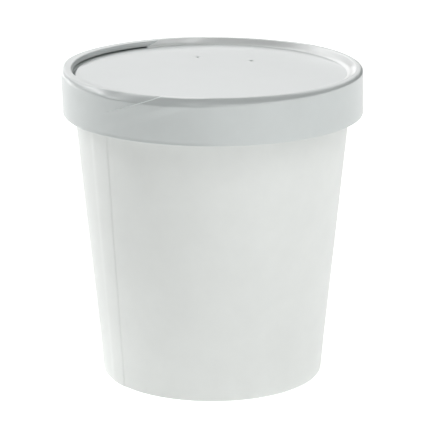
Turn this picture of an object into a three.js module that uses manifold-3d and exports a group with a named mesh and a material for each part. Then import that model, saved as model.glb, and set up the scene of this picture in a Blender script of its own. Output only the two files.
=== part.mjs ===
// Takeaway soup container: a round tapered paper cup, shut with a paper lid whose panel has two vent holes.
// Millimetres, +Z up. The origin is the centre of the ring that the cup stands on, and -Y is the front.
// Angles are in degrees from the front, seen from above, and grow towards +X.
import * as THREE from "three";
import { mergeVertices } from "three/addons/utils/BufferGeometryUtils.js";
import Module from "manifold-3d";

// Driving dimensions
const HEIGHT = 104.4; // from the table to the crown of the lid's bead
const LID_DIAMETER = 100.5; // over the lid's band, beside its lap
const BAND_HEIGHT = 14.8; // side of the lid
const SHOULDER_DIAMETER = 91.2; // cup wall, level with the band's lower edge
const FOOT_DIAMETER = 74.2; // cup wall, carried down to the table
const BOARD = 0.5; // thickness of the coated board
const FIT_GAP = 0.3; // clearance between pieces that touch

// Lid
const PANEL_DEPTH = 2.0; // top panel below the bead's crown
const BEAD_WIDTH = 4.0;
const BEAD_OUTER_ROUND = 2.1;
const BEAD_INNER_ROUND = 1.3;
const BEAD_LIP_ROUND = 0.3;
const BAND_LAP_STEP = 0.35; // how far the doubled strip stands proud
const BAND_LAP_START = -20.4; // outer end of the strip at the crown
const BAND_LAP_LENGTH = 17.8; // degrees from the outer end to the buried inner end
const BAND_LAP_SLOPE = 0.343; // rise of both bias-cut ends along the band
const BAND_LAP_EASE = 6; // degrees over which the strip settles past the buried end
const VENTS = [
  [-5.0, 24.4],
  [13.3, 18.4],
];
const VENT_RADIUS = 0.45;
const VENT_DIMPLE_RADIUS = 1.3;
const VENT_DIMPLE_DEPTH = 0.22;

// Cup
const ROLL_RADIUS = 1.55; // rolled rim inside the lid
const FOOT_THICKNESS = 1.5; // wall, flange of the base and folded hem together
const FOOT_ROUND = 0.45;
const BASE_HEIGHT = 6.3; // underside of the base above the table
const HEM_HEIGHT = 6.0; // folded hem inside the foot
const CUP_LAP_STEP = 0.4;
const CUP_LAP_FOOT = -51.9; // side seam at the table
const CUP_LAP_SHOULDER = -48.2; // side seam at the band's lower edge
const CUP_LAP_WIDTH = 9; // degrees of doubled board
const CUP_LAP_EASE = 4;

// How round things are divided
const SEGMENTS = 96;
const LAP_COLUMNS = 9;
const WALL_ROWS = 6;
const BAND_ROWS = 12;
const ARC_STEPS = 5;
const PUNCH_SIDES = 12;
const SUNK = 0.15; // how deep a lap is rooted in its wall

// Places worked out from them
const bandRadius = LID_DIAMETER / 2;
const bandInside = bandRadius - BOARD;
const bandBottom = HEIGHT - BAND_HEIGHT;
const panelTop = HEIGHT - PANEL_DEPTH;
const panelBottom = panelTop - BOARD;
const panelRadius = bandInside - FIT_GAP;
const beadInside = bandRadius - BEAD_WIDTH;
const beadBottom = panelTop + FIT_GAP;
const cupTop = panelBottom - FIT_GAP;
const rollCentreRadius = bandInside - FIT_GAP - ROLL_RADIUS;
const rollCentreHeight = cupTop - ROLL_RADIUS;
const wallTop = rollCentreHeight - ROLL_RADIUS / 2;
const baseTop = BASE_HEIGHT + BOARD;
const wallSlope = (SHOULDER_DIAMETER - FOOT_DIAMETER) / 2 / bandBottom;

const { degToRad, radToDeg, lerp, smoothstep } = THREE.MathUtils;
const wallRadius = (z) => FOOT_DIAMETER / 2 + wallSlope * z;

const wasm = await Module();
wasm.setup();

// A closed geometry as a solid that can be joined and cut
function solid(geometry) {
  const bare = geometry.toNonIndexed();
  bare.deleteAttribute("normal");
  bare.deleteAttribute("uv");
  const merged = mergeVertices(bare, 1e-4);
  const vertProperties = merged.getAttribute("position").array;
  const triVerts = new Uint32Array(merged.index.array);
  return new wasm.Manifold(new wasm.Mesh({ numProp: 3, vertProperties, triVerts }));
}

// A solid's surface as a geometry again
function surface(manifold) {
  const { vertProperties, triVerts } = manifold.getMesh();
  const geometry = new THREE.BufferGeometry();
  geometry.setAttribute("position", new THREE.BufferAttribute(vertProperties, 3));
  geometry.setIndex(new THREE.BufferAttribute(triVerts, 1));
  const flat = geometry.toNonIndexed();
  flat.computeVertexNormals();
  return flat;
}

// Points of an arc in the profile plane, ends included
function arc(centreRadius, centreHeight, radius, from, to, steps = ARC_STEPS) {
  return Array.from({ length: steps + 1 }, (_, i) => {
    const a = degToRad(lerp(from, to, i / steps));
    return [centreRadius + radius * Math.cos(a), centreHeight + radius * Math.sin(a)];
  });
}

// A profile of [radius, height] points turned about Z
function turned(profile, segments = SEGMENTS) {
  const outline = profile.map(([radius, height]) => new THREE.Vector2(radius, height));
  return solid(new THREE.LatheGeometry(outline, segments).rotateX(Math.PI / 2));
}

// A plate bent round Z. The place function gives [angle, radius, height] for shares across, up and outwards.
function bent(columns, rows, place) {
  const geometry = new THREE.BoxGeometry(1, 1, 1, columns, rows, 1).translate(0.5, 0.5, 0.5);
  const position = geometry.getAttribute("position");
  for (let i = 0; i < position.count; i++) {
    const shares = [position.getX(i), position.getY(i), position.getZ(i)];
    const [angle, radius, height] = place(...shares);
    const a = degToRad(angle);
    position.setXYZ(i, radius * Math.sin(a), -radius * Math.cos(a), height);
  }
  return solid(geometry);
}

// The cup is one shut solid: the wall with its rolled rim and folded foot, full inside
function cup() {
  const foot = FOOT_DIAMETER / 2;
  const notch = wallRadius(HEM_HEIGHT) - BOARD;
  const hem = wallRadius(HEM_HEIGHT) - FOOT_THICKNESS;
  const body = turned([
    [0, baseTop + FIT_GAP],
    [notch, baseTop + FIT_GAP],
    [notch, HEM_HEIGHT],
    [hem, HEM_HEIGHT],
    ...arc(foot - FOOT_THICKNESS + FOOT_ROUND, FOOT_ROUND, FOOT_ROUND, 180, 270, 3),
    ...arc(foot - FOOT_ROUND, FOOT_ROUND, FOOT_ROUND, 270, 360, 3),
    [wallRadius(wallTop), wallTop],
    ...arc(rollCentreRadius, rollCentreHeight, ROLL_RADIUS, -140, 90, 9),
    [0, cupTop],
  ]);
  return body.add(sideSeam());
}

// The side seam is the wall's doubled board: it ends in a cut edge towards the front and settles towards the side
function sideSeam() {
  const width = CUP_LAP_WIDTH + CUP_LAP_EASE;
  return bent(LAP_COLUMNS, WALL_ROWS, (across, up, outwards) => {
    const height = lerp(FOOT_ROUND, wallTop, up);
    const edge = lerp(CUP_LAP_FOOT, CUP_LAP_SHOULDER, height / bandBottom);
    const proud = lerp(-SUNK / 2, CUP_LAP_STEP, smoothstep(across * width, 0, CUP_LAP_EASE));
    return [edge - width * (1 - across), wallRadius(height) + lerp(-SUNK, proud, outwards), height];
  });
}

// The base is a disc of board held in the notch above the folded hem
function cupBase() {
  const radius = wallRadius(HEM_HEIGHT) - BOARD - FIT_GAP;
  return turned([
    [0, BASE_HEIGHT],
    [radius - BOARD, BASE_HEIGHT],
    [radius, BASE_HEIGHT + BOARD / 2],
    [radius, baseTop],
    [0, baseTop],
  ]);
}

// The band is a strip rolled inwards into a bead along its top
function lidBand() {
  const lip = BEAD_LIP_ROUND;
  const ring = turned([
    [bandRadius, bandBottom],
    ...beadOuterArc(),
    ...arc(beadInside + BEAD_INNER_ROUND, HEIGHT - BEAD_INNER_ROUND, BEAD_INNER_ROUND, 90, 180, 4),
    ...arc(beadInside + lip, beadBottom + lip, lip, 180, 270, 2),
    [bandInside, beadBottom],
    [bandInside, bandBottom],
    [bandRadius, bandBottom],
  ]);
  return ring.add(bandLap());
}

function beadOuterArc() {
  return arc(bandRadius - BEAD_OUTER_ROUND, HEIGHT - BEAD_OUTER_ROUND, BEAD_OUTER_ROUND, 0, 90);
}

// The strip's bias-cut ends lap each other: the outer end is a cut edge, and past the buried end the strip settles
function bandLap() {
  const arcStart = HEIGHT - BEAD_OUTER_ROUND;
  const path = [
    ...Array.from({ length: BAND_ROWS }, (_, i) => [bandRadius, lerp(bandBottom, arcStart, i / BAND_ROWS)]),
    ...beadOuterArc(),
  ];
  const length = BAND_LAP_LENGTH + BAND_LAP_EASE;
  const degreesPerHeight = radToDeg(1 / (BAND_LAP_SLOPE * bandRadius));
  return bent(LAP_COLUMNS, path.length - 1, (across, up, outwards) => {
    const [radius, height] = path[Math.round(up * (path.length - 1))];
    const angle = BAND_LAP_START - (HEIGHT - height) * degreesPerHeight + across * length;
    const facingOut = (radius - (bandRadius - BEAD_OUTER_ROUND)) / BEAD_OUTER_ROUND;
    const settling = 1 - smoothstep(across * length, BAND_LAP_LENGTH, length);
    const proud = lerp(-SUNK / 2, BAND_LAP_STEP, settling * facingOut);
    return [angle, radius + lerp(-SUNK, proud, outwards), height];
  });
}

// A vent is pricked through the panel from above: a shallow dimple with a pinhole in it
function ventPunch([x, y]) {
  const dimpleFloor = panelTop - VENT_DIMPLE_DEPTH;
  const profile = [
    [0, panelBottom - BOARD],
    [VENT_RADIUS, panelBottom - BOARD],
    [VENT_RADIUS, dimpleFloor],
    [VENT_DIMPLE_RADIUS, panelTop],
    [VENT_DIMPLE_RADIUS, HEIGHT],
    [0, HEIGHT],
  ];
  return turned(profile, PUNCH_SIDES).translate([x, y, 0]);
}

function lidPanel() {
  const disc = turned([
    [0, panelBottom],
    [panelRadius, panelBottom],
    [panelRadius, panelTop],
    [0, panelTop],
  ]);
  return VENTS.reduce((panel, vent) => panel.subtract(ventPunch(vent)), disc);
}

const cupPaper = new THREE.MeshStandardMaterial({ color: 0xf0f1ef, roughness: 0.5, metalness: 0 });
const lidPaper = new THREE.MeshStandardMaterial({ color: 0xe7ecec, roughness: 0.4, metalness: 0 });

const container = new THREE.Group();
for (const [name, piece, material] of [
  ["cup", cup(), cupPaper],
  ["cup_base", cupBase(), cupPaper],
  ["lid_band", lidBand(), lidPaper],
  ["lid_panel", lidPanel(), lidPaper],
]) {
  const mesh = new THREE.Mesh(surface(piece), material);
  mesh.name = name;
  container.add(mesh);
}

export default container;
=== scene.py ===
"""A shut takeaway soup container: a white paper cup under a white paper lid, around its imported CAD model.

Shapes are worked out in millimetres and made in metres. Angles are in degrees from the front, which is -Y,
seen from above, and grow towards +X.
"""
import math

import bpy
import numpy as np
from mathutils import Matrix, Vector
from mathutils.geometry import delaunay_2d_cdt

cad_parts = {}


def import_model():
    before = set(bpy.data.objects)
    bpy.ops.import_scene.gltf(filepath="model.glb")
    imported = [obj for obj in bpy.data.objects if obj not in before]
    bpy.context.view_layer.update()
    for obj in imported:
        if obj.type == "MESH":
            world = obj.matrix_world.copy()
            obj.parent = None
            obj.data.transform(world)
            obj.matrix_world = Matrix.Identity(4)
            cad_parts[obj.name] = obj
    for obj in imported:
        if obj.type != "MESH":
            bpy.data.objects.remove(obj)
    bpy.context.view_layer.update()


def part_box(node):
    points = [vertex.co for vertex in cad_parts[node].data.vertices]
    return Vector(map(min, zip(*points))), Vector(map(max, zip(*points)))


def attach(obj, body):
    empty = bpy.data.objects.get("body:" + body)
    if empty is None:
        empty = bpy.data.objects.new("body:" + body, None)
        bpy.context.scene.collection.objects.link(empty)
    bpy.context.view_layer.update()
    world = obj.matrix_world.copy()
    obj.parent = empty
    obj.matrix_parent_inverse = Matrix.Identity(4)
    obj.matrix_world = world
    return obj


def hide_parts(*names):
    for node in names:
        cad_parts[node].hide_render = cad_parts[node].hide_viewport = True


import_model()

MM = 0.001
COLUMN_STEP = 0.75  # degrees between the columns of a round piece


def node_box(node):
    """Lowest and highest corner of a CAD node, in millimetres."""
    return [np.array(corner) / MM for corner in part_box(node)]


band_low, band_high = node_box("lid_band")
panel_low, panel_high = node_box("lid_panel")
cup_low, cup_high = node_box("cup")
base_low, base_high = node_box("cup_base")

# Lid, from the frame and from the build
CROWN = band_high[2]
BAND_BOTTOM = band_low[2]
BAND_RADIUS = band_high[0]
PANEL_TOP = panel_high[2]
PANEL_RADIUS = panel_high[0]
BOARD = panel_high[2] - panel_low[2]
FIT_GAP = 0.3  # between pieces that touch
CROWN_RADIUS = BAND_RADIUS - 0.25  # the CAD radius leaves room for the lap
BAND_TAPER = 0.15  # how much narrower the band is at its lower edge
BAND_SHEAR = (0.28, -0.12)  # how far the lower edge and the crown sit to the right of the axis
BAND_EDGE_ROUND = 0.18
EDGE_CURL_HEIGHT = 0.55  # how far up the lower edge is curled out
BEAD_INNER_ROUND = 0.9
CREST_WIDTH = 0.05  # least width of the bead's flat top
LIP_BOTTOM = 102.62  # underside of the bead where it has no skirt
LIP_ROUND = 0.2

# The skirt is the inner part of the strip, which slopes down from the bead to the panel
SLOPE_ROUND = 0.7
SKIRT_FOOT = 44.9  # largest radius of the foot, where the skirt runs out on the panel
SKIRT_REACH = 3.2  # least run of the skirt, from its crest to its foot
SKIRT_FILLET = 2.3
SKIRT_FALL = 0.02  # how far its crest is under the crown
SKIRT_CLEARANCE = 0.02  # how far its foot is above the panel
SKIRT_TUCK = 1.5  # how far its hidden underside goes back outwards from the foot
SKIRT_PLY = 0.25
SKIRT_END = -157.0  # where the skirt ends, at the crown
SKIRT_SETTLES = (169.0, 180.0)  # degrees towards the left, between which its end settles into the ring
BARE_MIDDLE = -88.0  # somewhere in the stretch with no skirt, between its end and the lap

# The strip's ends lap each other at the front left
BAND_PLY = 0.3  # thickness of the band's upper layer at its lap
BAND_LAP_START = -20.4  # outer end of the strip at the crown
BAND_LAP_END = -8.5  # buried end of the strip at the crown
BAND_LAP_EASE = 11.0
LAP_FULLNESS = 0.5  # how much the buried end holds the pressed part of the lap out
PRESSED_DEPTHS = (3.0, 8.0)  # depths under the crown between which the cut edge is pressed flush
BEVEL = 0.8  # width of the strip's cut edge, in degrees
EDGE_SEEN = 6.5  # below this depth under the crown, the cut edge no longer shows
BIAS = 3.3  # degrees that a cut end shifts for each millimetre of height
CUT_COLUMN = 0.035  # faces whose middle is within this many degrees of a cut end show cut board

# The bead is rolled by hand, so these differ round it: places are (angle, value), in millimetres
OUTER_WIDTHS = [(-180, 1.1), (-110, 1.0), (-85, 1.5), (-76, 1.4), (-68, 0.8), (-46, 0.8), (-36, 3.2),
                (-20, 3.5), (30, 3.8), (50, 3.7), (62, 3.0), (75, 2.0), (90, 1.5), (120, 1.1), (180, 1.1)]
OUTER_HEIGHTS = [(-180, 1.1), (-110, 1.0), (-85, 1.5), (-76, 1.4), (-68, 0.8), (-46, 0.8), (-36, 2.4),
                 (0, 2.4), (30, 1.5), (60, 1.0), (90, 1.0), (120, 1.1), (180, 1.1)]
LIP_CRESTS = [(-180, 47.0), (-90, 47.1), (-78, 47.0), (-66, 46.4), (-46, 46.4), (-34, 46.6), (-20, 46.4),
              (180, 47.0)]
LIP_FALLS = [(-180, 0.12), (-78, 0.12), (-66, 0.24), (-46, 0.24), (-36, 0.05), (180, 0.12)]
SKIRT_CRESTS = [(-180, 48.2), (-150, 48.2), (-20, 46.3), (30, 46.1), (50, 46.2), (62, 46.9), (75, 47.9),
                (180, 48.2)]
CROWN_LEANS = [(-180, 0.0), (-76, 0.0), (-64, 0.9), (-46, 1.1), (-36, 0.2), (-30, 0.0), (180, 0.0)]
CROWN_DROPS = [(-180, 0.22), (-168, 0.05), (-68, 0.05), (-42, 0.0), (-36, 0.05), (-2, 0.05), (2, 0.0),
               (138, 0.0), (150, 0.2), (180, 0.22)]
CROWN_FLARES = [(-180, 0.0), (-150, 0.3), (-120, 0.55), (-106, 0.55), (-92, 0.05), (-85, 0.0), (105, 0.0),
                (130, 0.2), (180, 0.0)]
EDGE_CURLS = [(-180, 0.0), (-75, 0.0), (-60, 0.12), (-5, 0.12), (5, 0.0), (180, 0.0)]
LEAN_START = 102.2  # above this height the crown leans in
DROP_HEIGHTS = (96.0, 103.5)  # heights between which the crown's drop sets in

# The power of the outer round: 1 makes it an ellipse, and 2 would make it a straight bevel
OUTER_CURVES = [(-180, 1.0), (-45, 1.0), (-35, 1.33), (20, 1.33), (45, 1.2), (85, 1.0), (180, 1.0)]

# Panel
GROOVE_START = 45.2  # the panel's edge dips into a groove under the bead
GROOVE_DEEPEST = 46.4
GROOVE_END = 47.4
GROOVE_DEPTH = 0.85
EDGE_THINNING = 0.15  # the pressed edge of the panel is this much thinner
BOW = 0.05
BOW_FADE = (30.0, 43.0)  # radii between which the panel's bow fades out
VENTS = [(-5.0, 24.4), (13.3, 18.4)]
VENT_RADIUS = 0.42
VENT_DIMPLE_RADIUS = 1.5
VENT_DIMPLE_DEPTH = 0.2
VENT_RINGS = [VENT_RADIUS, 0.5, 0.62, 0.8, 1.05, VENT_DIMPLE_RADIUS, 2.1]  # radii of points round a vent
VENT_SIDES = 40
VENT_RIDGE = 0.03  # board pushed up round a dimple
VENT_RIDGE_WIDTH = 0.3
PANEL_SPACING = 1.6  # between the points of the panel's mesh
EDGE_SPACING = 0.3
RIM_POINTS = 360

# Cup, from the frame and from the build
CUP_TOP = cup_high[2]
ROLL_RADIUS = 1.55
ROLL_CENTRE = cup_high[0] - ROLL_RADIUS
BASE_BOTTOM = base_low[2]
BASE_RADIUS = base_high[0]
FOOT_RADIUS = 37.1
SHOULDER_RADIUS = 45.6
FOOT_THICKNESS = 1.5
FOOT_ROUND = 0.5
HEM_HEIGHT = 6.0
CUP_PLY = 0.24
CUP_SEAM_FOOT = -51.9
CUP_SEAM_SHOULDER = -48.2
CUP_SEAM_WIDTH = 9.0
CUP_SEAM_EASE = 4.0
CUP_SEAM_SOFTNESS = 0.45  # half the width over which the coated seam rises, in degrees
HOLLOW_DEPTH = 12.0  # dark space under the vents
HOLLOW_TAPER = 0.6
BASE_RIM_ROUND = 0.25
BASE_RIM_WIDTH = 0.9
BASE_DOME = 0.35

# Unevenness of the rolled wall, in millimetres and degrees
SLOW_WAVE = 0.06
QUICK_WAVE = 0.04
CREASE_RISE = 0.07
CREASE_BESIDE_SEAM = 3.1
CREASE_WIDTH = 0.7
CREASE_HEIGHTS = (62.0, 74.0)
FLAT_SIDE_DEPTH = 0.3
FLAT_SIDE_ANGLE = -88.0
FLAT_SIDE_WIDTH = 24.0
FLAT_SIDE_HEIGHTS = (15.0, 65.0)
TRUE_FOOT = (1.5, 12.0)  # the foot is even, and above it the unevenness sets in

WALL_SLOPE = (SHOULDER_RADIUS - FOOT_RADIUS) / BAND_BOTTOM


def smooth(value, start, end):
    """0 up to start, 1 from end on, and a soft rise between them."""
    share = np.clip((value - start) / (end - start), 0.0, 1.0)
    return share * share * (3.0 - 2.0 * share)


def hump(value, width):
    """1 at 0, and a soft fall towards 0 on both sides."""
    return np.exp(-((value / width) ** 2))


def cut_step(angle, edge):
    """0 before a cut edge and 1 after it, with the small round of a cut board's corner."""
    return np.interp(angle - edge, [-0.03, 0.03, 0.1, 0.3], [0.0, 0.86, 0.97, 1.0])


def columns(step, edges):
    """Column angles in degrees all round, close together beside each cut edge."""
    beside = [-0.6, -0.3, -0.15, -0.06, -0.03, 0.0, 0.03, 0.06, 0.1, 0.18, 0.3, 0.55, 0.8, 1.0, 1.3]
    near = [edge + offset for edge in edges for offset in beside]
    even = np.arange(-180.0, 180.0, step)
    clear = [a for a in even if all(not -0.75 < a - edge < 1.5 for edge in edges)]
    return np.array(sorted(clear + near))


def ring_value(angle, places):
    """A value that changes softly round the ring, from its (angle, value) places."""
    fine = np.arange(-540.0, 541.0)
    at, values = zip(*places)
    steps = np.interp((fine + 180.0) % 360.0 - 180.0, at, values)
    window = np.hanning(9)
    soft = np.convolve(steps, window / window.sum(), mode="same")
    return np.interp((angle + 180.0) % 360.0 - 180.0, fine, soft)


def arc(centre_r, centre_z, radius, start, end, steps):
    """Points of an arc in the profile plane, ends included. A value may be an array, one entry a column."""
    share = np.linspace(0.0, 1.0, steps + 1)[:, None]
    a = np.radians(start + (end - start) * share)
    across = centre_r + radius * np.cos(a)
    up = centre_z + radius * np.sin(a)
    return np.stack(np.broadcast_arrays(across, up), axis=-1)


def line(start, end, steps):
    """Points from one profile point to another, the last left out."""
    share = np.arange(steps)[:, None] / steps
    parts = [a * (1.0 - share) + b * share for a, b in zip(start, end)]
    return np.stack(np.broadcast_arrays(*parts), axis=-1)


def joined(parts, count):
    """Parts of a profile put together, each spread over all columns."""
    return np.concatenate([np.broadcast_to(part, (len(part), count, 2)) for part in parts])


def outward(profile):
    """Unit normals of a profile that goes up on its outside."""
    along = np.gradient(profile, axis=0)
    along /= np.maximum(np.linalg.norm(along, axis=-1, keepdims=True), 1e-9)
    return np.stack([along[..., 1], -along[..., 0]], axis=-1)


def round_point(angle, radius, height):
    """A point round Z, as an array of x, y and z."""
    a = np.radians(angle)
    return np.stack([radius * np.sin(a), -radius * np.cos(a), height + 0.0 * a], axis=-1)


def add_piece(name, points, faces, materials, slots, sharp=32.0):
    """Makes a mesh object in metres from millimetre points, with a material number for each face."""
    mesh = bpy.data.meshes.new(name)
    mesh.from_pydata((points * MM).tolist(), [], faces)
    for material in materials:
        mesh.materials.append(material)
    mesh.polygons.foreach_set("material_index", slots)
    mesh.polygons.foreach_set("use_smooth", [True] * len(faces))
    mesh.validate()
    mesh.set_sharp_from_angle(angle=math.radians(sharp))
    piece = bpy.data.objects.new(name, mesh)
    bpy.context.scene.collection.objects.link(piece)
    return piece


def ring_piece(name, rings, materials, cut=None, poles=False):
    """A closed mesh of rings round Z, each joined to the next. With poles, the first and last are points on
    the axis, else the last ring joins the first. cut gives each face its material number, 1 for cut board."""
    count, around = rings.shape[:2]
    points = rings.reshape(-1, 3)
    spans = count - 1 if poles else count
    faces = []
    slots = []
    for i in range(spans):
        below = i * around
        above = ((i + 1) % count) * around
        for j in range(around):
            k = (j + 1) % around
            if poles and i == 0:
                face = (below, above + k, above + j)
            elif poles and i == spans - 1:
                face = (below + j, below + k, above)
            else:
                face = (below + j, below + k, above + k, above + j)
            faces.append(face)
            slots.append(int(cut[i, j]) if cut is not None else 0)
    used = sorted({index for face in faces for index in face})
    renumber = {old: new for new, old in enumerate(used)}
    faces = [tuple(renumber[index] for index in face) for face in faces]
    return add_piece(name, points[used], faces, materials, slots)


def paper(name, colour, roughness, coat, coat_ior, fibre, seed):
    """Coated white board: faint cloudy mottle, fine fibres in the coating and a soft gloss."""
    material = bpy.data.materials.new(name)
    material.use_nodes = True
    nodes = material.node_tree.nodes
    links = material.node_tree.links
    shader = nodes["Principled BSDF"]
    shader.inputs["Coat Weight"].default_value = coat
    shader.inputs["Coat Roughness"].default_value = 0.3
    shader.inputs["Coat IOR"].default_value = coat_ior
    shader.inputs["IOR"].default_value = 1.5

    place = nodes.new("ShaderNodeTexCoord")
    shift = nodes.new("ShaderNodeMapping")
    shift.inputs["Location"].default_value = (seed * 0.13, seed * 0.07, seed * 0.05)
    links.new(place.outputs["Object"], shift.inputs["Vector"])

    cloud = nodes.new("ShaderNodeTexNoise")
    cloud.inputs["Scale"].default_value = 90.0
    cloud.inputs["Detail"].default_value = 6.0
    cloud.inputs["Roughness"].default_value = 0.6
    links.new(shift.outputs["Vector"], cloud.inputs["Vector"])

    tint = nodes.new("ShaderNodeValToRGB")
    tint.color_ramp.elements[0].position = 0.3
    tint.color_ramp.elements[1].position = 0.7
    tint.color_ramp.elements[0].color = (*[c * 0.975 for c in colour], 1.0)
    tint.color_ramp.elements[1].color = (*[min(c * 1.015, 1.0) for c in colour], 1.0)
    links.new(cloud.outputs["Fac"], tint.inputs["Fac"])
    links.new(tint.outputs["Color"], shader.inputs["Base Color"])

    sheen = nodes.new("ShaderNodeMapRange")
    sheen.inputs["To Min"].default_value = roughness - 0.05
    sheen.inputs["To Max"].default_value = roughness + 0.05
    links.new(cloud.outputs["Fac"], sheen.inputs["Value"])
    links.new(sheen.outputs["Result"], shader.inputs["Roughness"])

    grain = nodes.new("ShaderNodeTexNoise")
    grain.inputs["Scale"].default_value = 2600.0
    grain.inputs["Detail"].default_value = 4.0
    links.new(shift.outputs["Vector"], grain.inputs["Vector"])
    bump = nodes.new("ShaderNodeBump")
    bump.inputs["Strength"].default_value = fibre
    bump.inputs["Distance"].default_value = 0.00004
    links.new(grain.outputs["Fac"], bump.inputs["Height"])
    links.new(bump.outputs["Normal"], shader.inputs["Normal"])
    return material


def cut_board(name, colour):
    """Raw cut edge of the board: open, matt fibres."""
    material = bpy.data.materials.new(name)
    material.use_nodes = True
    nodes = material.node_tree.nodes
    links = material.node_tree.links
    shader = nodes["Principled BSDF"]
    shader.inputs["Roughness"].default_value = 0.85
    place = nodes.new("ShaderNodeTexCoord")
    fuzz = nodes.new("ShaderNodeTexNoise")
    fuzz.inputs["Scale"].default_value = 3500.0
    fuzz.inputs["Detail"].default_value = 3.0
    links.new(place.outputs["Object"], fuzz.inputs["Vector"])
    tint = nodes.new("ShaderNodeValToRGB")
    tint.color_ramp.elements[0].position = 0.35
    tint.color_ramp.elements[1].position = 0.65
    tint.color_ramp.elements[0].color = (*[c * 0.88 for c in colour], 1.0)
    tint.color_ramp.elements[1].color = (*colour, 1.0)
    links.new(fuzz.outputs["Fac"], tint.inputs["Fac"])
    links.new(tint.outputs["Color"], shader.inputs["Base Color"])
    bump = nodes.new("ShaderNodeBump")
    bump.inputs["Strength"].default_value = 0.6
    bump.inputs["Distance"].default_value = 0.00006
    links.new(fuzz.outputs["Fac"], bump.inputs["Height"])
    links.new(bump.outputs["Normal"], shader.inputs["Normal"])
    return material


CUP_COLOUR = (0.77, 0.79, 0.772)
LID_COLOUR = (0.575, 0.61, 0.605)
SKIRT_LIT_COLOUR = (0.80, 0.825, 0.815)  # the skirt, the strip's inner face, in a lighter copy of the lid paper: painted light on the slope inside the bead
CUT_COLOUR = (0.83, 0.88, 0.875)
cup_paper = paper("cup_paper", CUP_COLOUR, 0.42, 0.25, 1.5, 0.35, 1)
lid_paper = paper("lid_paper", LID_COLOUR, 0.42, 0.8, 1.7, 0.3, 2)
# The skirt paper is a lighter copy of the lid paper: painted light on the slope inside the bead.
skirt_lit_paper = paper("skirt_lit_paper", SKIRT_LIT_COLOUR, 0.45, 1.0, 1.9, 0.4, 3)
raw_edge = cut_board("raw_edge", CUT_COLOUR)


def wall_radius(height):
    """Outer radius of the plain wall at a height."""
    return FOOT_RADIUS + WALL_SLOPE * height


def cup_wall():
    """The tapered wall with its side seam, its folded foot and its rolled rim."""
    foot_inside = FOOT_RADIUS - FOOT_THICKNESS
    hem_inside = wall_radius(HEM_HEIGHT) - FOOT_THICKNESS
    notch = wall_radius(HEM_HEIGHT) - BOARD
    above_base = base_high[2] + FIT_GAP
    above_foot = FOOT_ROUND + 0.6
    roll_centre_z = CUP_TOP - ROLL_RADIUS
    wall_top = roll_centre_z - ROLL_RADIUS / 2
    rim_inside = ROLL_CENTRE - ROLL_RADIUS
    hollow_radius = rim_inside - HOLLOW_TAPER
    hollow_floor = CUP_TOP - HOLLOW_DEPTH
    inside = [
        line((0.0, above_base), (notch, above_base), 6),
        line((notch, above_base), (notch, HEM_HEIGHT), 2),
        line((notch, HEM_HEIGHT), (hem_inside, HEM_HEIGHT), 3),
        line((hem_inside, HEM_HEIGHT), (foot_inside, FOOT_ROUND), 16),
        arc(foot_inside + FOOT_ROUND, FOOT_ROUND, FOOT_ROUND, 180, 270, 7),
    ]
    hem_edge = sum(map(len, inside[:3])) - 1  # the row before the hem's inner corner
    outside = [
        arc(FOOT_RADIUS - FOOT_ROUND, FOOT_ROUND, FOOT_ROUND, 270, 360, 7),
        line((wall_radius(above_foot), above_foot), (wall_radius(wall_top), wall_top), 90),
    ]
    rim = [
        arc(ROLL_CENTRE, roll_centre_z, ROLL_RADIUS, -140, 160, 30),
        line((rim_inside, roll_centre_z), (hollow_radius, hollow_floor), 6),
        line((hollow_radius, hollow_floor), (0.0, hollow_floor), 6),
        np.array([[[0.0, hollow_floor]]]),
    ]
    angles = columns(COLUMN_STEP, [CUP_SEAM_FOOT])
    count = len(angles)
    inside, outside, rim = (joined(part, count) for part in (inside, outside, rim))
    profile = np.concatenate([inside, outside, rim])
    first = len(inside)
    last = first + len(outside)
    radius = profile[..., 0]
    height = profile[..., 1]
    angle = np.broadcast_to(angles, radius.shape)

    left_of_seam = CUP_SEAM_FOOT - angle
    far_end = CUP_SEAM_WIDTH + CUP_SEAM_EASE
    ply = smooth(left_of_seam, -CUP_SEAM_SOFTNESS, CUP_SEAM_SOFTNESS)
    ply = ply * (1.0 - smooth(left_of_seam, CUP_SEAM_WIDTH, far_end))
    rows = np.arange(len(profile))[:, None]
    on_wall = (rows >= first) & (rows < last)
    lift = CUP_PLY * ply * on_wall

    # The rolled board keeps a little unevenness, and a crease beside the seam near the lid
    along = np.radians(angle)
    waves = SLOW_WAVE * np.sin(3 * along + 0.8) + QUICK_WAVE * np.sin(7 * along + height / 37.0)
    crease = CREASE_RISE * hump(angle - CUP_SEAM_FOOT - CREASE_BESIDE_SEAM, CREASE_WIDTH)
    crease = crease * smooth(height, *CREASE_HEIGHTS)
    flat_side = FLAT_SIDE_DEPTH * hump(angle - FLAT_SIDE_ANGLE, FLAT_SIDE_WIDTH)
    flat_side = flat_side * (1.0 - smooth(height, *FLAT_SIDE_HEIGHTS))
    lift = lift + (waves + crease - flat_side) * on_wall * smooth(height, *TRUE_FOOT)

    lean = (CUP_SEAM_SHOULDER - CUP_SEAM_FOOT) * height / BAND_BOTTOM
    rings = round_point(angle + lean, radius + lift, height)
    cut = np.broadcast_to(rows == hem_edge, radius.shape)[:-1]
    piece = ring_piece("cup_wall", rings, [cup_paper, raw_edge], cut, poles=True)
    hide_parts("cup")
    return piece


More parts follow.
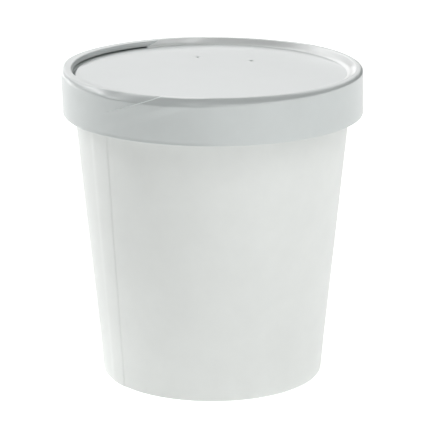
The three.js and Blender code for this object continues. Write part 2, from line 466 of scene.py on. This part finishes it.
def cup_base():
    """The raised base: a disc of board, slightly domed, whose rim turns down into the foot."""
    across = np.linspace(0.0, BASE_RADIUS - BASE_RIM_WIDTH, 30)[:, None]
    under = np.stack([across, BASE_BOTTOM + BASE_DOME * (1.0 - (across / BASE_RADIUS) ** 2)], axis=-1)
    top = np.stack([across[::-1], np.full_like(across, base_high[2])], axis=-1)
    edge = arc(BASE_RADIUS - BASE_RIM_ROUND, base_high[2] - BASE_RIM_ROUND, BASE_RIM_ROUND, -90, 90, 8)
    angles = columns(2 * COLUMN_STEP, [])
    profile = joined([under, edge, top], len(angles))
    angle = np.broadcast_to(angles, profile.shape[:2])
    rings = round_point(angle, profile[..., 0], profile[..., 1])
    piece = ring_piece("base_disc", rings, [cup_paper], poles=True)
    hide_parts("cup_base")
    return piece


def lid_rim():
    """The band of the lid, rolled inwards into a bead along its crown, with its bias-cut lap."""
    angles = columns(COLUMN_STEP, [BAND_LAP_START, SKIRT_END])
    count = len(angles)
    outer_width = ring_value(angles, OUTER_WIDTHS)
    outer_height = ring_value(angles, OUTER_HEIGHTS)
    curve = ring_value(angles, OUTER_CURVES)
    edge_radius = CROWN_RADIUS - BAND_TAPER
    crest_start = CROWN_RADIUS - outer_width
    turn = np.linspace(0.0, math.pi / 2, 23)[:, None]
    round_r = crest_start + outer_width * np.cos(turn).clip(0.0) ** curve
    round_z = CROWN - outer_height + outer_height * np.sin(turn) ** curve
    outer = [
        arc(edge_radius - BAND_EDGE_ROUND, BAND_BOTTOM + BAND_EDGE_ROUND, BAND_EDGE_ROUND, -90, 0, 4),
        line((edge_radius, BAND_BOTTOM + 0.4), (CROWN_RADIUS, CROWN - outer_height), 54),
        np.stack([round_r, round_z], axis=-1),
    ]

    # Where the lip is bare, the bead's top slopes a little inwards, rounds over and ends above a dark gap.
    # This part has as many rows as the skirt below, so that one can turn into the other
    crest = np.minimum(ring_value(angles, LIP_CRESTS), crest_start - CREST_WIDTH)
    crest_z = CROWN - ring_value(angles, LIP_FALLS)
    lip = crest - BEAD_INNER_ROUND
    bare = [
        line((crest_start, CROWN), (crest, crest_z), 5),
        arc(crest, crest_z - BEAD_INNER_ROUND, BEAD_INNER_ROUND, 86, 180, 16),
        line((lip, crest_z - BEAD_INNER_ROUND), (lip, LIP_BOTTOM + LIP_ROUND), 6),
        arc(lip + LIP_ROUND, LIP_BOTTOM + LIP_ROUND, LIP_ROUND, 180, 270, 8),
        line((lip + 2 * LIP_ROUND, LIP_BOTTOM + 0.01), (CROWN_RADIUS - 2.2, LIP_BOTTOM + 0.35), 10),
    ]

    # Elsewhere a skirt runs down from the crest to the panel
    crest = np.minimum(ring_value(angles, SKIRT_CRESTS), crest_start - CREST_WIDTH)
    crest_z = CROWN - SKIRT_FALL
    foot_r = np.minimum(SKIRT_FOOT, crest - SKIRT_REACH)
    foot_z = PANEL_TOP + SKIRT_CLEARANCE
    tip = (foot_r - 0.05, foot_z - SKIRT_CLEARANCE)

    # The straight part of the slope is the common tangent of the round at the crest and the foot's fillet
    rounds = SLOPE_ROUND + SKIRT_FILLET
    run = crest - foot_r
    rise = crest_z - foot_z - rounds
    straight = np.sqrt(run**2 + rise**2 - rounds**2)
    slope = np.arctan2(rise, run) + np.arctan2(rounds, straight)
    steepness = np.degrees(slope)
    top_r = crest - SLOPE_ROUND * np.sin(slope)
    top_z = crest_z - SLOPE_ROUND * (1.0 - np.cos(slope))
    fillet_end = (foot_r + SKIRT_FILLET * np.sin(slope), foot_z + SKIRT_FILLET * (1.0 - np.cos(slope)))
    skirt = [
        line((crest_start, CROWN), (crest, crest_z), 5),
        arc(crest, crest_z - SLOPE_ROUND, SLOPE_ROUND, 90, 90 + steepness, 16),
        line((top_r, top_z), fillet_end, 6),
        arc(foot_r, foot_z + SKIRT_FILLET, SKIRT_FILLET, steepness - 90, -90, 12),
        line(tip, (foot_r + SKIRT_TUCK, foot_z), 6),
    ]

    inner_wall = CROWN_RADIUS - BOARD
    above_panel = PANEL_TOP + FIT_GAP
    under = line((CROWN_RADIUS - 2.0, PANEL_TOP + 0.4), (inner_wall, above_panel), 4)
    inside = line((inner_wall, above_panel), (inner_wall - BAND_TAPER, BAND_BOTTOM), 50)
    bottom = line((inner_wall - BAND_TAPER, BAND_BOTTOM), (edge_radius - BAND_EDGE_ROUND, BAND_BOTTOM), 3)
    without = joined([*outer, *bare, under, inside, bottom], count)
    with_skirt = joined([*outer, *skirt, under, inside, bottom], count)

    rows = np.arange(len(without))[:, None]
    outer_end = sum(map(len, outer))
    skirt_start = outer_end + len(skirt[0]) + 3  # a little way round the crest
    crest_end = outer_end + sum(map(len, bare[:2]))
    foot_end = outer_end + sum(map(len, skirt[:-1])) + 1
    turned_end = outer_end + sum(map(len, bare))
    under_end = turned_end + len(under)
    bottom_start = len(without) - len(bottom)

    angle = np.broadcast_to(angles, without.shape[:2])
    at_lap = angle > BARE_MIDDLE
    has_skirt = np.where(at_lap, cut_step(angle, BAND_LAP_START), 1.0 - cut_step(angle, SKIRT_END))
    profile = without * (1.0 - has_skirt[..., None]) + with_skirt * has_skirt[..., None]

    # The strip's doubled board adds a layer at the lap and on the skirt, which fades where the ends settle
    settled = 1.0 - smooth(angle, BAND_LAP_END, BAND_LAP_END + BAND_LAP_EASE)
    bevel = np.clip((angle - BAND_LAP_START) / BEVEL, 0.0, 1.0)
    full = 1.0 - smooth(CROWN - profile[..., 1], *PRESSED_DEPTHS)
    full = full + (1.0 - full) * LAP_FULLNESS * smooth(angle, BAND_LAP_START, BAND_LAP_END)
    outer_ply = BAND_PLY * settled * bevel * full
    inner_ply = SKIRT_PLY * has_skirt * np.where(at_lap, settled, 1.0 - smooth(-angle, *SKIRT_SETTLES))
    thick = np.where(rows < outer_end, outer_ply, np.where(rows < foot_end, inner_ply, 0.0))
    profile = profile + outward(profile) * thick[..., None]
    radius = profile[..., 0]
    height = profile[..., 1]

    # The cut ends slant: columns shift left down the outside, right down the skirt, and back along the inside
    drop = CROWN - height
    inner_bias = BIAS * np.clip(drop, 0.0, CROWN - PANEL_TOP)
    edge_bias = -BIAS * (CROWN - BAND_BOTTOM)
    fall = np.clip((rows - under_end) / (bottom_start - under_end), 0.0, 1.0)
    bias = np.where(rows < outer_end, -BIAS * np.maximum(drop, 0.0), inner_bias)
    bias = np.where(rows >= under_end, BIAS * (CROWN - PANEL_TOP) * (1.0 - fall) + edge_bias * fall, bias)
    around = angle + bias

    height = np.minimum(height, CROWN) - ring_value(around, CROWN_DROPS) * smooth(height, *DROP_HEIGHTS)
    radius = radius + ring_value(around, CROWN_FLARES) * smooth(height, BAND_BOTTOM, CROWN)
    radius = radius - ring_value(around, CROWN_LEANS) * smooth(height, LEAN_START, CROWN)
    at_edge = hump(height - BAND_BOTTOM, EDGE_CURL_HEIGHT) * (rows < outer_end)
    radius = radius + ring_value(around, EDGE_CURLS) * at_edge
    rings = round_point(around, radius, height)
    share = (height - BAND_BOTTOM) / (CROWN - BAND_BOTTOM)
    rings[..., 0] += BAND_SHEAR[0] * (1.0 - share) + BAND_SHEAR[1] * share

    mid = (np.roll(angles, -1) + angles) / 2
    on_bevel = (mid > BAND_LAP_START) & (mid < BAND_LAP_START + BEVEL)
    at_start = np.abs(mid - BAND_LAP_START) < CUT_COLUMN
    at_skirt_end = np.abs(mid - SKIRT_END) < CUT_COLUMN
    cut = on_bevel & (rows < outer_end) & (drop < EDGE_SEEN)
    cut = cut | (at_start & (rows >= outer_end) & (rows < crest_end))
    cut = cut | (at_skirt_end & (rows >= outer_end) & (rows < turned_end))
    cut = cut | (rows >= bottom_start)
    on_skirt = (rows >= skirt_start) & (rows < turned_end) & (has_skirt > 0.5)
    # The skirt's faces get the lighter paper, painted light on the slope inside the bead.
    slots = np.where(on_skirt & ~cut, 2, cut)
    piece = ring_piece("lid_rim", rings, [lid_paper, raw_edge, skirt_lit_paper], slots)
    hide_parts("lid_band")
    return piece


def circle(x, y, radius, count):
    """Points of a circle, evenly spaced."""
    turns = np.linspace(0, 2 * math.pi, count, False)
    return [(x + radius * math.cos(a), y + radius * math.sin(a)) for a in turns]


def lid_panel():
    """The flat top of the lid, pricked by two vents, each in a shallow dimple."""
    points = []
    holes = []
    for x, y in VENTS:
        for radius in VENT_RINGS:
            if radius == VENT_RADIUS:
                holes.append(list(range(len(points), len(points) + VENT_SIDES)))
            points += circle(x, y, radius, VENT_SIDES)
    clear = VENT_RINGS[-1] + 0.7
    inner_radii = np.arange(PANEL_SPACING, GROOVE_START - 0.5, PANEL_SPACING)
    edge_radii = np.arange(GROOVE_START, PANEL_RADIUS - EDGE_SPACING, EDGE_SPACING)
    points.append((0.0, 0.0))
    for radius in (*inner_radii, *edge_radii):
        count = max(6, round(2 * math.pi * radius / PANEL_SPACING))
        for x, y in circle(0.0, 0.0, radius, count):
            if all(math.hypot(x - vent_x, y - vent_y) > clear for vent_x, vent_y in VENTS):
                points.append((x, y))
    rim_start = len(points)
    points += circle(0.0, 0.0, PANEL_RADIUS, RIM_POINTS)
    found = delaunay_2d_cdt([Vector(p) for p in points], [], [], 0, 1e-5)
    flat = np.array([tuple(p) for p in found[0]])
    triangles = []
    for face in found[2]:
        middle = flat[list(face)].mean(axis=0)
        if all(np.hypot(*(middle - vent)) > VENT_RADIUS * 0.985 for vent in np.array(VENTS)):
            triangles.append(tuple(face))
    origin = {old: new for new, olds in enumerate(found[3]) for old in olds}

    away = np.min([np.hypot(*(flat - vent).T) for vent in np.array(VENTS)], axis=0)
    dimple = VENT_DIMPLE_DEPTH * (1.0 - smooth(away, VENT_RADIUS * 0.6, VENT_DIMPLE_RADIUS))
    ridge = VENT_RIDGE * hump(away - VENT_DIMPLE_RADIUS * 1.1, VENT_RIDGE_WIDTH)
    from_axis = np.hypot(*flat.T)
    bow = BOW * np.sin(flat[:, 0] / 17.0 + 0.7) * np.sin(flat[:, 1] / 23.0 + 1.9)
    bow = bow * (1.0 - smooth(from_axis, *BOW_FADE))
    into_groove = smooth(from_axis, GROOVE_START, GROOVE_DEEPEST)
    groove = into_groove - 0.5 * smooth(from_axis, GROOVE_DEEPEST, GROOVE_END)
    top = PANEL_TOP - dimple + ridge + bow - GROOVE_DEPTH * groove
    bottom = top - BOARD + EDGE_THINNING * into_groove
    vertices = np.concatenate([np.column_stack([flat, top]), np.column_stack([flat, bottom])])
    below = len(flat)
    faces = list(triangles) + [tuple(below + i for i in reversed(face)) for face in triangles]
    slots = [0] * len(faces)
    rim = [origin[rim_start + i] for i in range(RIM_POINTS)]
    loops = [(rim, False)] + [([origin[i] for i in hole], True) for hole in holes]
    for loop, inwards in loops:
        for a, b in zip(loop, loop[1:] + loop[:1]):
            face = (a, b, below + b, below + a) if inwards else (b, a, below + a, below + b)
            faces.append(face)
            slots.append(1)
    piece = add_piece("lid_top", vertices, faces, [lid_paper, raw_edge], slots)
    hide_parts("lid_panel")
    return piece


for piece in (cup_wall(), cup_base(), lid_rim(), lid_panel()):
    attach(piece, "root")


# Two glows add up on the floor, painted pools of light: centre and reach in metres, strength at the centre
# and past the reach
FLOOR_GLOWS = [((-0.055, -0.045, 0.0), 0.12, 0.77, 0.52), ((0.12, -0.33, 0.0), 0.3, 0.6, 0.0)]


def floor():
    """A plain pale floor, large enough to fill the view, that glows by itself, with painted pools of light at
    the front and front left.
    """
    mesh = bpy.data.meshes.new("floor")
    half = 4.0
    corners = [(-half, -half, 0), (half, -half, 0), (half, half, 0), (-half, half, 0)]
    mesh.from_pydata(corners, [], [(0, 1, 2, 3)])
    material = bpy.data.materials.new("floor")
    material.use_nodes = True
    nodes = material.node_tree.nodes
    links = material.node_tree.links
    shader = nodes["Principled BSDF"]
    shader.inputs["Base Color"].default_value = (0.85, 0.86, 0.85, 1.0)
    shader.inputs["Roughness"].default_value = 0.7
    shader.inputs["Emission Color"].default_value = (1.0, 1.0, 1.0, 1.0)
    place = nodes.new("ShaderNodeTexCoord")
    both = nodes.new("ShaderNodeMath")
    both.operation = "ADD"
    for number, (centre, reach, strongest, weakest) in enumerate(FLOOR_GLOWS):
        away = nodes.new("ShaderNodeVectorMath")
        away.operation = "DISTANCE"
        away.inputs[1].default_value = centre
        links.new(place.outputs["Object"], away.inputs[0])
        fade = nodes.new("ShaderNodeMapRange")
        fade.interpolation_type = "SMOOTHSTEP"
        fade.inputs["From Max"].default_value = reach
        fade.inputs["To Min"].default_value = strongest
        fade.inputs["To Max"].default_value = weakest
        links.new(away.outputs["Value"], fade.inputs["Value"])
        links.new(fade.outputs["Result"], both.inputs[number])
    # The glows drive the floor's emission: painted pools of light.
    links.new(both.outputs["Value"], shader.inputs["Emission Strength"])
    mesh.materials.append(material)
    piece = bpy.data.objects.new("floor", mesh)
    bpy.context.scene.collection.objects.link(piece)


LIGHT_DISTANCE = 3.0


def soft_box(name, azimuths, elevations, radiance):
    """A soft light that faces the object and fills a range of azimuths and elevations, seen from there."""
    azimuth = math.radians(sum(azimuths) / 2)
    elevation = math.radians(sum(elevations) / 2)
    half_azimuth = math.radians(azimuths[1] - azimuths[0]) / 2
    half_elevation = math.radians(elevations[1] - elevations[0]) / 2
    wide = 2 * LIGHT_DISTANCE * math.tan(half_azimuth) * math.cos(elevation)
    high = 2 * LIGHT_DISTANCE * math.tan(half_elevation)
    light = bpy.data.lights.new(name, "AREA")
    light.shape = "RECTANGLE"
    light.size = wide
    light.size_y = high
    light.energy = radiance * math.pi * wide * high
    lamp = bpy.data.objects.new(name, light)
    towards = Vector((math.sin(azimuth) * math.cos(elevation), -math.cos(azimuth) * math.cos(elevation),
                      math.sin(elevation)))
    lamp.location = towards * LIGHT_DISTANCE
    lamp.rotation_euler = towards.to_track_quat("Z", "Y").to_euler()
    lamp.visible_camera = False
    bpy.context.scene.collection.objects.link(lamp)


def world(strength):
    """Plain pale surroundings."""
    surroundings = bpy.data.worlds.new("surroundings")
    surroundings.use_nodes = True
    background = surroundings.node_tree.nodes["Background"]
    background.inputs["Color"].default_value = (0.97, 1.0, 1.0, 1.0)
    background.inputs["Strength"].default_value = strength
    bpy.context.scene.world = surroundings


# The camera looks down on the container from a little above, as in the photograph
FRAME_WIDTH = 439
FRAME_HEIGHT = 440
FOCAL_PIXELS = 2372.6
VIEW_ELEVATION = 16.044
VIEW_DISTANCE = 0.8001
VIEW_CENTRE = Vector((0.0, 0.0, 0.05099))
CENTRE_PIXEL = (212.3, 221.35)
SENSOR = 36.0


def camera():
    """A camera with the view and the crop of the photograph."""
    data = bpy.data.cameras.new("camera")
    data.sensor_fit = "AUTO"
    data.sensor_width = SENSOR
    longest = max(FRAME_WIDTH, FRAME_HEIGHT)
    data.lens = FOCAL_PIXELS / longest * SENSOR
    data.shift_x = (FRAME_WIDTH / 2 - CENTRE_PIXEL[0]) / longest
    data.shift_y = (CENTRE_PIXEL[1] - FRAME_HEIGHT / 2) / longest
    data.clip_start = 0.05
    data.clip_end = 50.0
    eye = bpy.data.objects.new("camera", data)
    e = math.radians(VIEW_ELEVATION)
    back = Vector((0.0, -math.cos(e), math.sin(e)))
    eye.location = VIEW_CENTRE + back * VIEW_DISTANCE
    eye.rotation_euler = back.to_track_quat("Z", "Y").to_euler()
    bpy.context.scene.collection.objects.link(eye)
    bpy.context.scene.camera = eye


camera()
floor()
world(0.02)
# Degrees round and above the container, and how bright the light's face is
soft_box("back_left_low", (-170, -105), (0, 10), 3.7)
soft_box("back_left_high", (-170, -100), (20, 55), 1.7)
soft_box("front_right", (35, 65), (0, 20), 1.55)
soft_box("high_right", (25, 80), (25, 75), 1.25)
soft_box("top_front", (-10, 80), (50, 75), 1.9)
soft_box("backdrop", (165, 195), (12, 35), 1.9)
soft_box("horizon", (165, 190), (0, 5), 2.0)
soft_box("side_left", (-130, -95), (25, 45), 0.4)
soft_box("strip_left", (-129, -94), (30, 43), 4.0)
soft_box("side_right", (85, 125), (10, 45), 0.5)
bpy.context.scene.view_settings.view_transform = "Standard"
